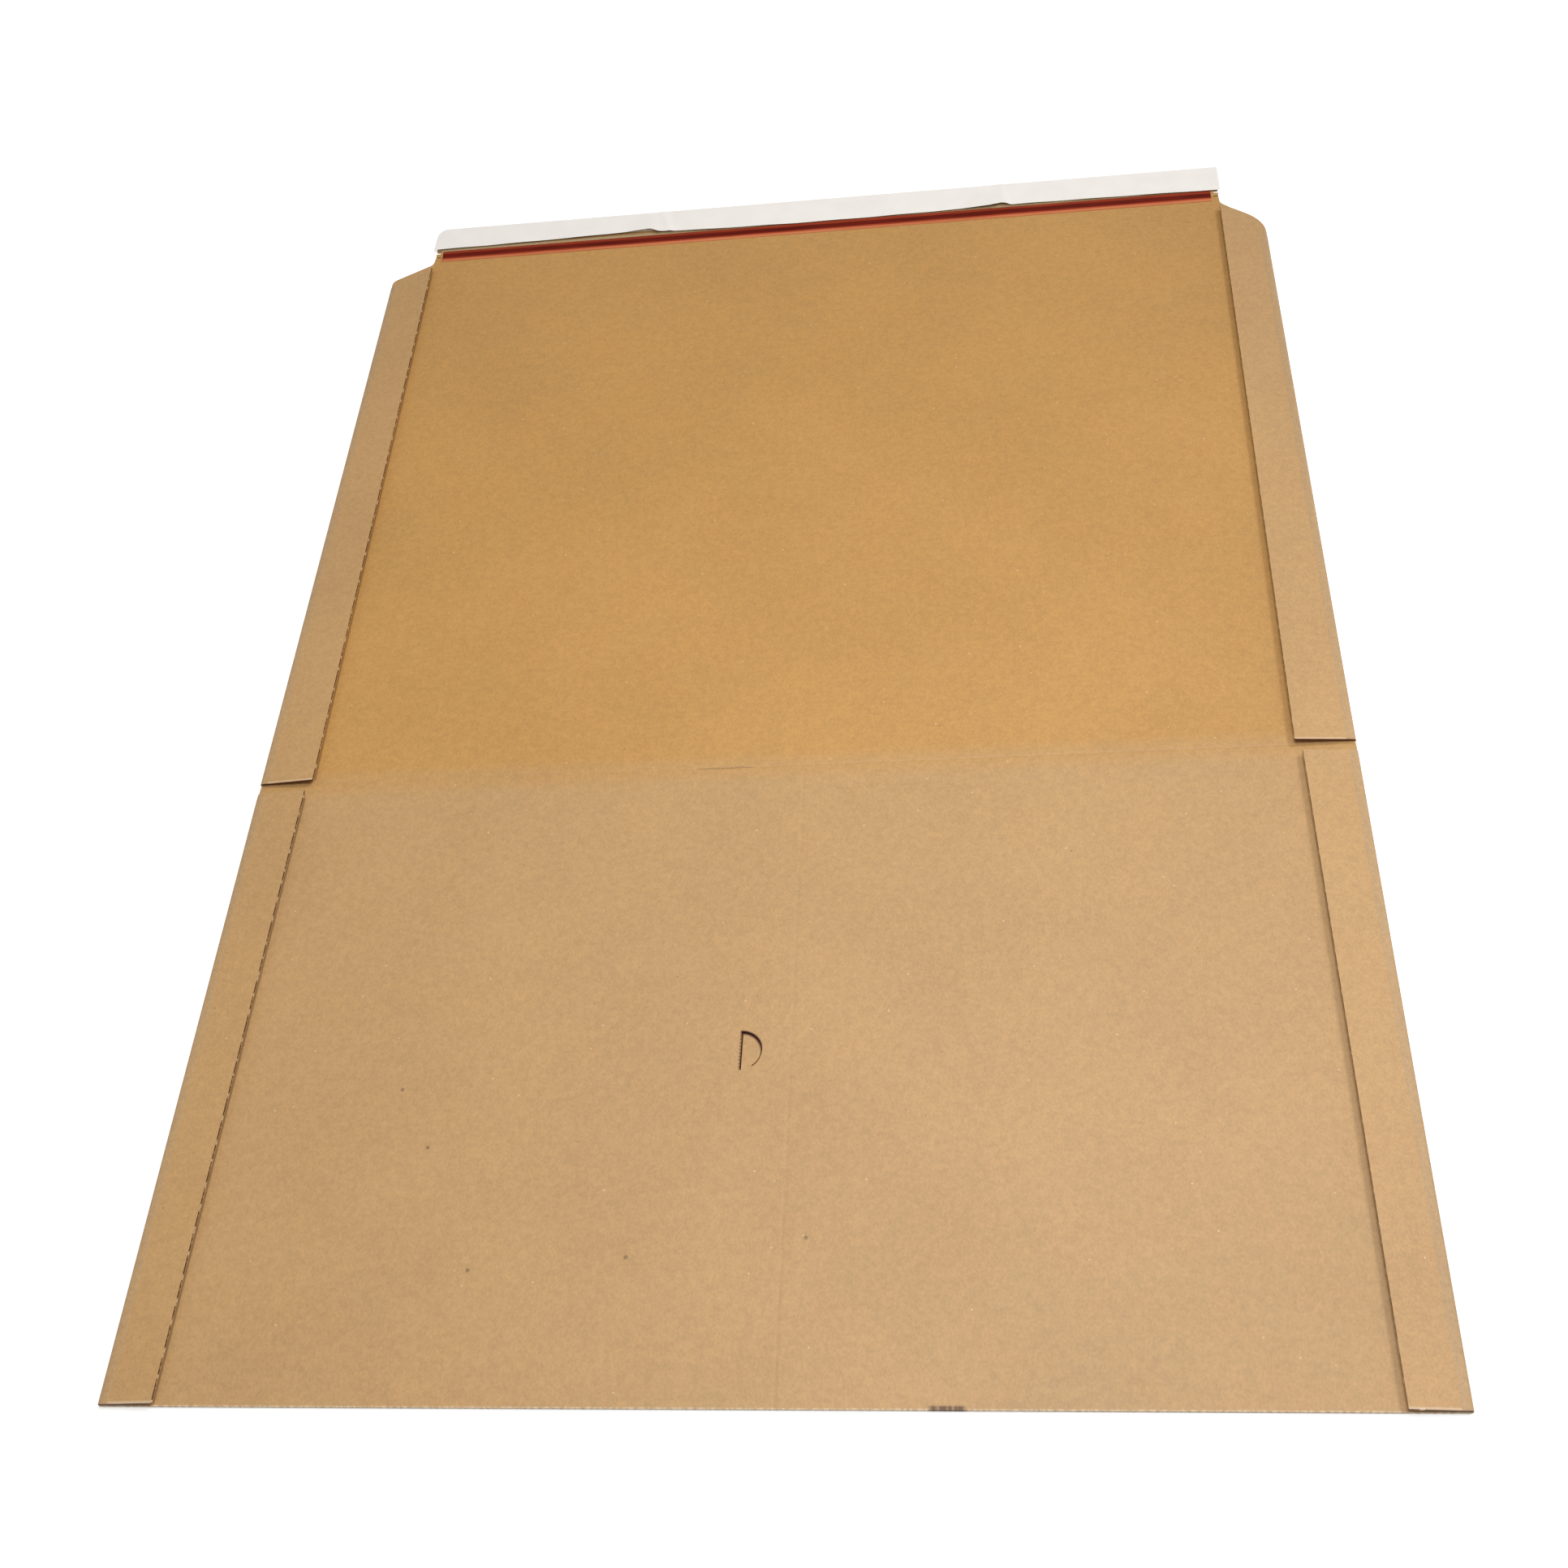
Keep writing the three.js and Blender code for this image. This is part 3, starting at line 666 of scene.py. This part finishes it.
def release_paper_material():
    """White silicone paper with a faint grey cloud."""
    material, tree, shader, place = start_material("release_liner")
    shader.inputs["Roughness"].default_value = 0.5
    cloud = add_node(tree, "TexNoise", {"Vector": place, "Scale": 60.0, "Detail": 4.0}).outputs[0]
    colour = mix_colours(tree, ramp(tree, cloud, 0.3, 0.7), (0.93, 0.88, 0.82, 1), (0.96, 0.92, 0.86, 1))
    tree.links.new(colour, shader.inputs["Base Color"])
    crinkle = add_node(tree, "Mapping", {"Vector": place, "Scale": (1, 0.35, 1)}).outputs[0]
    folds = add_node(tree, "TexNoise", {"Vector": crinkle, "Scale": 90.0, "Detail": 3.0}).outputs[0]
    relief = add_node(tree, "Bump", {"Strength": 0.35, "Distance": 0.0008, "Height": folds})
    tree.links.new(relief.outputs[0], shader.inputs["Normal"])
    return material


def between(stops, x):
    """A value read off a list of (x, value) stops, straight from one to the next."""
    for (x0, v0), (x1, v1) in zip(stops, stops[1:]):
        if x <= x1:
            share = min(1.0, max(0.0, (x - x0) / (x1 - x0)))
            return v0 + (v1 - v0) * share
    return stops[-1][1]


LINER_NEAR = [
    (-0.275, 0.3976), (-0.2366, 0.3978), (-0.177, 0.3986), (-0.135, 0.3998), (-0.118, 0.4008),
    (-0.112, 0.3978), (-0.072, 0.3963), (-0.015, 0.3954), (0.042, 0.3955), (0.098, 0.3963),
    (0.121, 0.3966), (0.128, 0.3988), (0.134, 0.3968), (0.153, 0.3970), (0.219, 0.3962), (0.2745, 0.3947),
]
LINER_LIFT = [
    (-0.275, 0.0004), (-0.2, 0.0006), (-0.135, 0.0009), (-0.115, 0.0016), (-0.105, 0.0006), (0.0, 0.0003),
    (0.1, 0.0004), (0.122, 0.0020), (0.135, 0.0004), (0.2, 0.0003), (0.2745, 0.0006),
]
LINER_LEFT_X = -0.275
LINER_LENGTH = 0.5495
LINER_FAR_Y = 0.42065
LINER_Z = 0.00198
LINER_PAPER = 0.00012


def release_paper():
    """The liner strip on the glue: its near edge is uneven and lifted, and it has two kinks."""
    bpy.ops.object.select_all(action="DESELECT")
    bpy.ops.mesh.primitive_grid_add(x_subdivisions=300, y_subdivisions=12, size=1, location=(0, 0, 0))
    piece = bpy.context.object
    piece.name = "release_paper"
    for vertex in piece.data.vertices:
        across = vertex.co.y + 0.5
        x = LINER_LEFT_X + (vertex.co.x + 0.5) * LINER_LENGTH
        near_y = between(LINER_NEAR, x)
        far_y = LINER_FAR_Y - 0.006 * max(0.0, 1 - (x - LINER_LEFT_X) / 0.006) ** 2
        lift = between(LINER_LIFT, x) * (1 - across) ** 2
        kink = 0.0007 * math.exp(-(((x + 0.104 + 0.006 * across) / 0.0025) ** 2)) * (1 - 0.4 * across)
        kink += 0.0006 * math.exp(-(((x - 0.131 + 0.004 * across) / 0.0022) ** 2)) * (1 - 0.3 * across)
        wave = 0.00012 * (1 + math.sin(x * 140 + across * 2)) * (1 - across)
        vertex.co = (x, near_y + (far_y - near_y) * across, LINER_Z + lift + kink + wave)
    bpy.ops.object.mode_set(mode="EDIT")
    return thickened(piece, LINER_PAPER, 0)


wear(sheet["adhesive_strip"], adhesive_material())
release_strip = release_paper()
wear(release_strip, release_paper_material())
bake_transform(release_strip)
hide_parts("release_liner")


# Floor, light and camera.
# A plain white floor and world, a soft sun from the right and behind, a wide lamp above, and the camera.
# Under the finger tab the floor is painted as the shadow seen through the tab's slit.

WHITE_PAINT = (0.86, 0.86, 0.86, 1)
UNDER_TAB_HALF = 0.0135
SHADOW_UNDER_TAB = (0.09, 0.03, 0.012, 1)
HINGE_HALF_SHADE = (0.5, 0.32, 0.15, 1)
FLOOR_GLOW = (0.47, 0.47, 0.47, 1)
SKY_LIGHT = (0.36, 0.36, 0.36, 1)

bpy.ops.object.select_all(action="DESELECT")
bpy.ops.mesh.primitive_circle_add(vertices=64, radius=6, fill_type="NGON", location=(0, 0, -0.0002))
floor = bpy.context.object
floor.name = "floor"
floor_white, floor_tree, floor_shader, floor_place = start_material("floor_white")
floor_shader.inputs["Roughness"].default_value = 1
seen = floor_tree.nodes.new("ShaderNodeLightPath").outputs
looked_at = plus(floor_tree, seen["Is Camera Ray"], seen["Is Glossy Ray"], True)
looked_at = plus(floor_tree, looked_at, seen["Is Transmission Ray"], True)
floor_x, floor_y, _ = add_node(floor_tree, "SeparateXYZ", {"Vector": floor_place}).outputs
# Painted shadow on the floor under the finger tab, seen through its slit, lighter towards the tab's hinge;
# the floor's glow is kept off there.
beside_tab = size_of(floor_tree, minus(floor_tree, floor_x, TAB_X + 0.0044))
before_tab = size_of(floor_tree, minus(floor_tree, floor_y, TAB_Y))
by_tab_x = math_node(floor_tree, "LESS_THAN", beside_tab, UNDER_TAB_HALF)
by_tab_y = math_node(floor_tree, "LESS_THAN", before_tab, UNDER_TAB_HALF)
under_tab = times(floor_tree, by_tab_x, by_tab_y)
held_x = ramp(floor_tree, floor_x, -0.0125, -0.0095)
held_y = ramp(floor_tree, floor_y, -0.2510, -0.2470, 1, 0)
held = times(floor_tree, held_x, held_y)
tab_shadow_tone = mix_colours(floor_tree, held, SHADOW_UNDER_TAB, HINGE_HALF_SHADE)
floor_tone = mix_colours(floor_tree, under_tab, WHITE_PAINT, tab_shadow_tone)
floor_tree.links.new(floor_tone, floor_shader.inputs["Base Color"])
looked_at = times(floor_tree, looked_at, minus(floor_tree, 1, under_tab))
glow = mix_colours(floor_tree, looked_at, (0, 0, 0, 1), FLOOR_GLOW)
floor_tree.links.new(glow, floor_shader.inputs["Emission Color"])
floor_shader.inputs["Emission Strength"].default_value = 1
from_below = floor_tree.nodes.new("ShaderNodeNewGeometry").outputs["Backfacing"]
floor_tree.links.new(minus(floor_tree, 1, from_below), floor_shader.inputs["Alpha"])
wear(floor, floor_white)

world = bpy.data.worlds.new("studio_white")
bpy.context.scene.world = world
world.use_nodes = True
world_tree = world.node_tree
sky = world_tree.nodes["Background"]
rays = world_tree.nodes.new("ShaderNodeLightPath").outputs
sky_colour = mix_colours(world_tree, rays["Is Camera Ray"], SKY_LIGHT, (1, 1, 1, 1))
world_tree.links.new(sky_colour, sky.inputs["Color"])
sky.inputs["Strength"].default_value = 1

bpy.ops.object.light_add(type="SUN")
key = bpy.context.object
key.rotation_euler = Vector((0.75, 0.5, 1)).to_track_quat("Z", "Y").to_euler()
key.data.energy = 1.06
key.data.angle = math.radians(16)

bpy.ops.object.light_add(type="AREA", location=(0.17, -0.16, 0.95))
overhead = bpy.context.object
overhead.data.size = 0.6
overhead.data.energy = 5.7

bpy.ops.object.camera_add(
    location=(0.12586, -0.66325, 0.78733),
    rotation=(math.radians(36.2621), math.radians(7.3354), math.radians(2.5617)),
)
camera = bpy.context.object
camera.data.lens = 41.79
camera.data.sensor_width = 36
bpy.context.scene.camera = camera
bpy.context.scene.view_settings.view_transform = "Standard"
